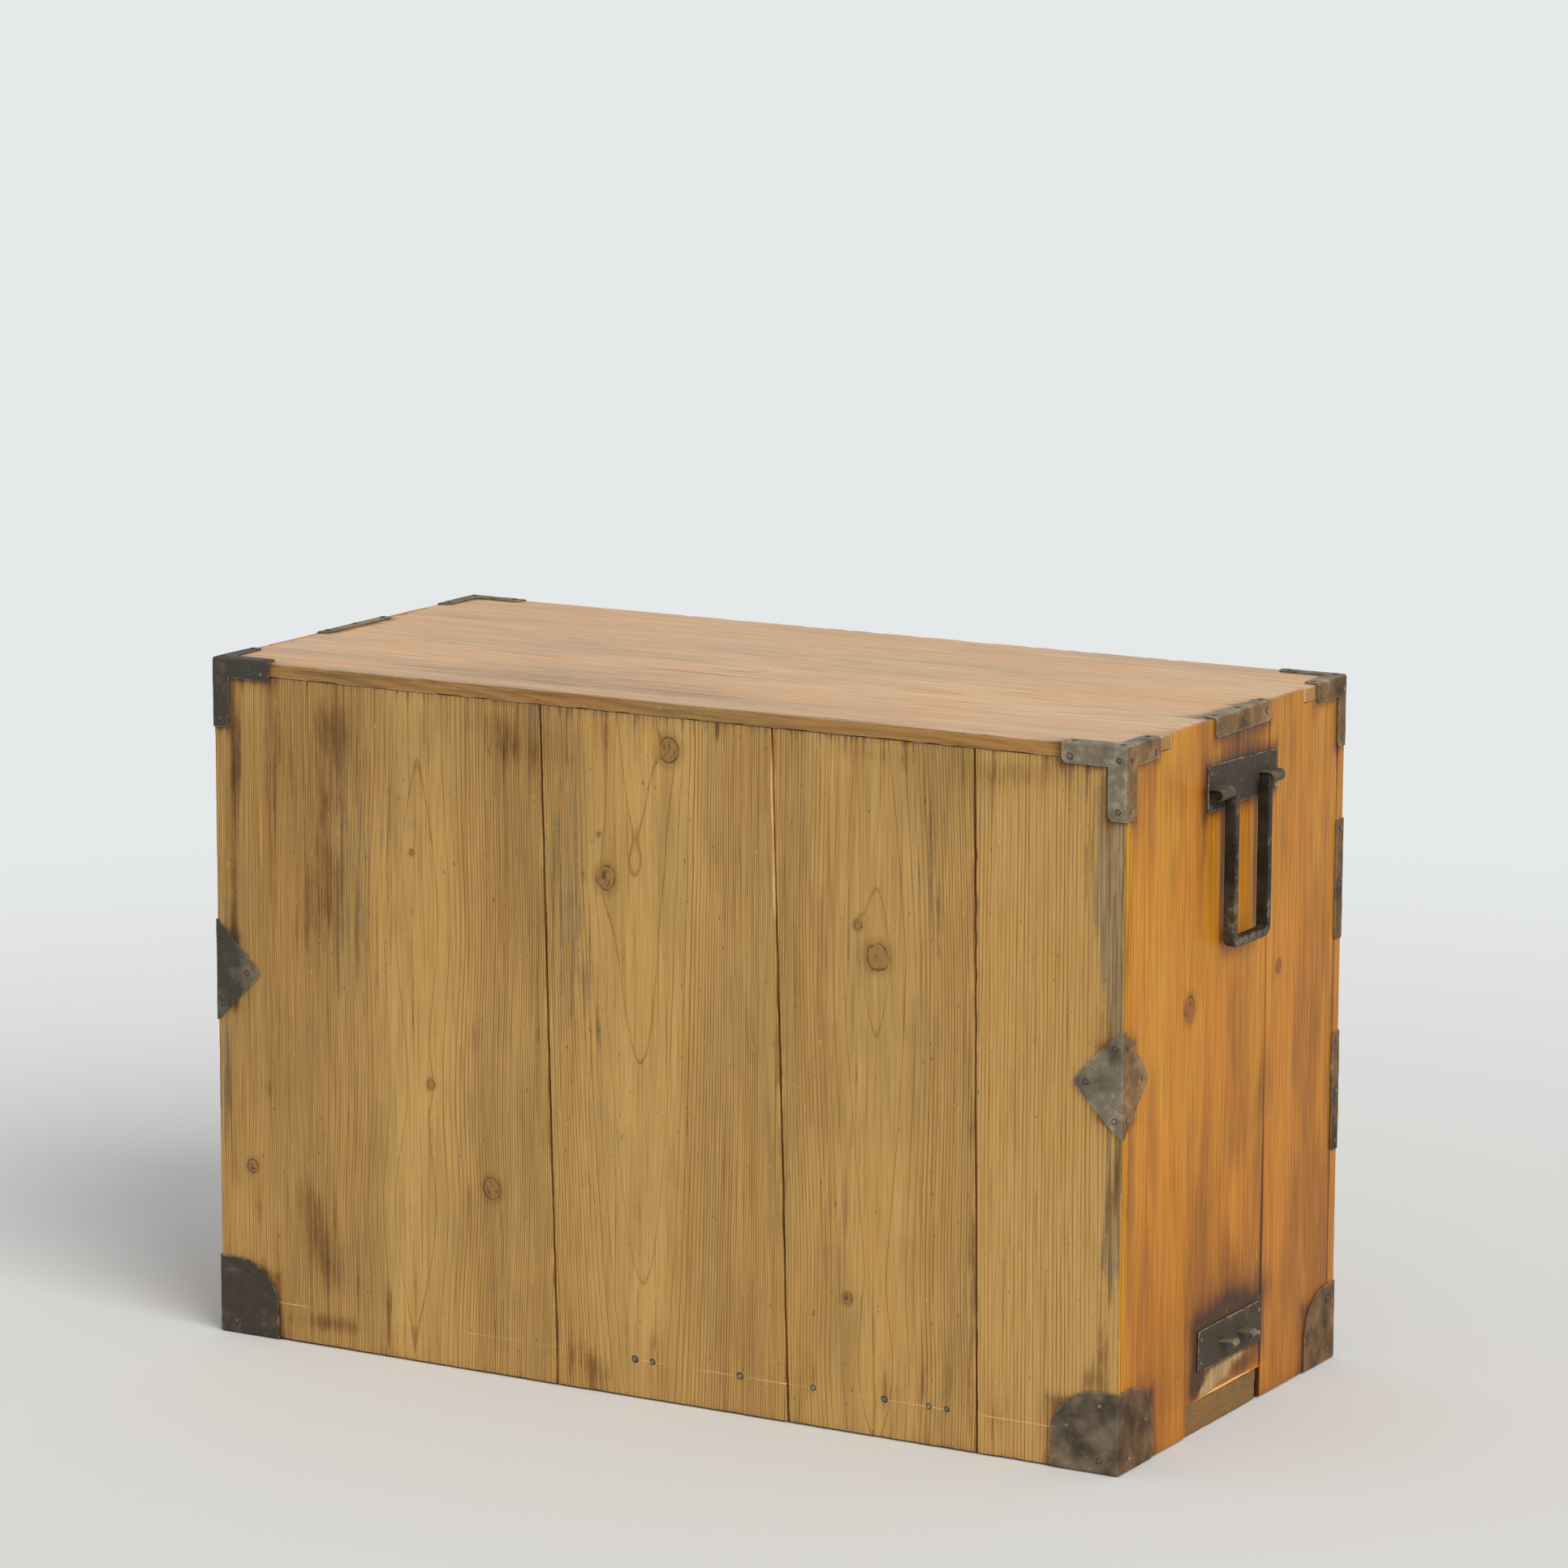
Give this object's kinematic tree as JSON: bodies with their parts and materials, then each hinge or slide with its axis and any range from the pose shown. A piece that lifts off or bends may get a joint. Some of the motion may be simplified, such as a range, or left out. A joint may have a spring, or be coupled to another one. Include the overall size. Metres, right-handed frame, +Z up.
{
  "type": "stacking clothes chest",
  "caption": "Low wooden chest with full-width drawers, nailed iron corners, swinging side bails for a carrying pole and curled hooks for tying stacked chests together.",
  "frame": {"origin": "middle of the case's width and depth, on the surface it stands on, in the underside of the cross batten", "axes": "+Z up; the drawers open towards -Y, so the plain boarded back faces +Y; +X is to the right of a person who faces the drawers"},
  "size_m": [0.918, 0.4406, 0.6071],
  "materials": {
    "back_wood": "bare weathered softwood, upright grain",
    "side_wood": "softwood with a thin old oil or wax, warm orange brown",
    "top_wood": "softwood, grain along the width, satin",
    "front_wood": "softwood with a thin old oil or wax",
    "inner_wood": "bare softwood, planed",
    "sheet_iron": "dark matt sheet iron with a little rust",
    "forged_iron": "dark forged iron, worn at the edges"
  },
  "bodies": {
    "case": {"top_board": "top_wood", "base_board": "inner_wood", "base_batten": "inner_wood", "left_side_rear_board": "side_wood", "left_side_front_board": "side_wood", "right_side_rear_board": "side_wood", "right_side_front_board": "side_wood", "left_front_stile": "front_wood", "right_front_stile": "front_wood", "back_board_1": "back_wood", "back_board_2": "back_wood", "back_board_3": "back_wood", "back_board_4": "back_wood", "bottom_rail": "front_wood", "lower_rail": "front_wood", "upper_rail": "front_wood", "drawer_runners": "inner_wood", "top_corner_iron_back_left": "sheet_iron", "top_corner_iron_back_right": "sheet_iron", "top_corner_iron_front_left": "sheet_iron", "top_corner_iron_front_right": "sheet_iron", "bottom_corner_iron_back_left": "sheet_iron", "bottom_corner_iron_back_right": "sheet_iron", "bottom_corner_iron_front_left": "sheet_iron", "bottom_corner_iron_front_right": "sheet_iron", "diamond_irons": "sheet_iron", "top_edge_straps": "sheet_iron", "front_edge_straps": "sheet_iron", "left_handle_plate": "sheet_iron", "right_handle_plate": "sheet_iron", "handle_eyes": "forged_iron", "left_hook_plate": "sheet_iron", "right_hook_plate": "sheet_iron", "case_nails": "forged_iron"},
    "bottom_drawer": {"bottom_drawer_front": "front_wood", "bottom_drawer_sides": "inner_wood", "bottom_drawer_back": "inner_wood", "bottom_drawer_bottom": "inner_wood", "bottom_drawer_lock": "sheet_iron", "bottom_drawer_pull_posts": "forged_iron"},
    "bottom_drawer_pull_left": {"bottom_drawer_pull_left": "forged_iron"},
    "bottom_drawer_pull_right": {"bottom_drawer_pull_right": "forged_iron"},
    "middle_drawer": {"middle_drawer_front": "front_wood", "middle_drawer_sides": "inner_wood", "middle_drawer_back": "inner_wood", "middle_drawer_bottom": "inner_wood", "middle_drawer_lock": "sheet_iron", "middle_drawer_pull_posts": "forged_iron"},
    "middle_drawer_pull_left": {"middle_drawer_pull_left": "forged_iron"},
    "middle_drawer_pull_right": {"middle_drawer_pull_right": "forged_iron"},
    "top_drawer": {"top_drawer_front": "front_wood", "top_drawer_sides": "inner_wood", "top_drawer_back": "inner_wood", "top_drawer_bottom": "inner_wood", "top_drawer_lock": "sheet_iron", "top_drawer_pull_posts": "forged_iron"},
    "top_drawer_pull_left": {"top_drawer_pull_left": "forged_iron"},
    "top_drawer_pull_right": {"top_drawer_pull_right": "forged_iron"},
    "left_bail": {"left_bail": "forged_iron"},
    "right_bail": {"right_bail": "forged_iron"}
  },
  "joints": [
    {"name": "bottom_drawer_slide", "type": "slide", "parent": "case", "child": "bottom_drawer", "axis": [0, -1, 0], "range_m": [0, 0.34]},
    {"name": "bottom_drawer_pull_left_swing", "type": "hinge", "parent": "bottom_drawer", "child": "bottom_drawer_pull_left", "pos_m": [-0.24, -0.224, 0.13605], "axis": [-1, 0, 0], "range_deg": [-14, 194]},
    {"name": "bottom_drawer_pull_right_swing", "type": "hinge", "parent": "bottom_drawer", "child": "bottom_drawer_pull_right", "pos_m": [0.24, -0.224, 0.13605], "axis": [-1, 0, 0], "range_deg": [-14, 194]},
    {"name": "middle_drawer_slide", "type": "slide", "parent": "case", "child": "middle_drawer", "axis": [0, -1, 0], "range_m": [0, 0.34]},
    {"name": "middle_drawer_pull_left_swing", "type": "hinge", "parent": "middle_drawer", "child": "middle_drawer_pull_left", "pos_m": [-0.24, -0.224, 0.33405], "axis": [-1, 0, 0], "range_deg": [-14, 194]},
    {"name": "middle_drawer_pull_right_swing", "type": "hinge", "parent": "middle_drawer", "child": "middle_drawer_pull_right", "pos_m": [0.24, -0.224, 0.33405], "axis": [-1, 0, 0], "range_deg": [-14, 194]},
    {"name": "top_drawer_slide", "type": "slide", "parent": "case", "child": "top_drawer", "axis": [0, -1, 0], "range_m": [0, 0.34]},
    {"name": "top_drawer_pull_left_swing", "type": "hinge", "parent": "top_drawer", "child": "top_drawer_pull_left", "pos_m": [-0.24, -0.224, 0.51405], "axis": [-1, 0, 0], "range_deg": [-14, 194]},
    {"name": "top_drawer_pull_right_swing", "type": "hinge", "parent": "top_drawer", "child": "top_drawer_pull_right", "pos_m": [0.24, -0.224, 0.51405], "axis": [-1, 0, 0], "range_deg": [-14, 194]},
    {"name": "left_bail_swing", "type": "hinge", "parent": "case", "child": "left_bail", "pos_m": [-0.453, 0, 0.543], "axis": [0, 1, 0], "range_deg": [-1, 181]},
    {"name": "right_bail_swing", "type": "hinge", "parent": "case", "child": "right_bail", "pos_m": [0.453, 0, 0.543], "axis": [0, -1, 0], "range_deg": [-1, 181]}
  ]
}
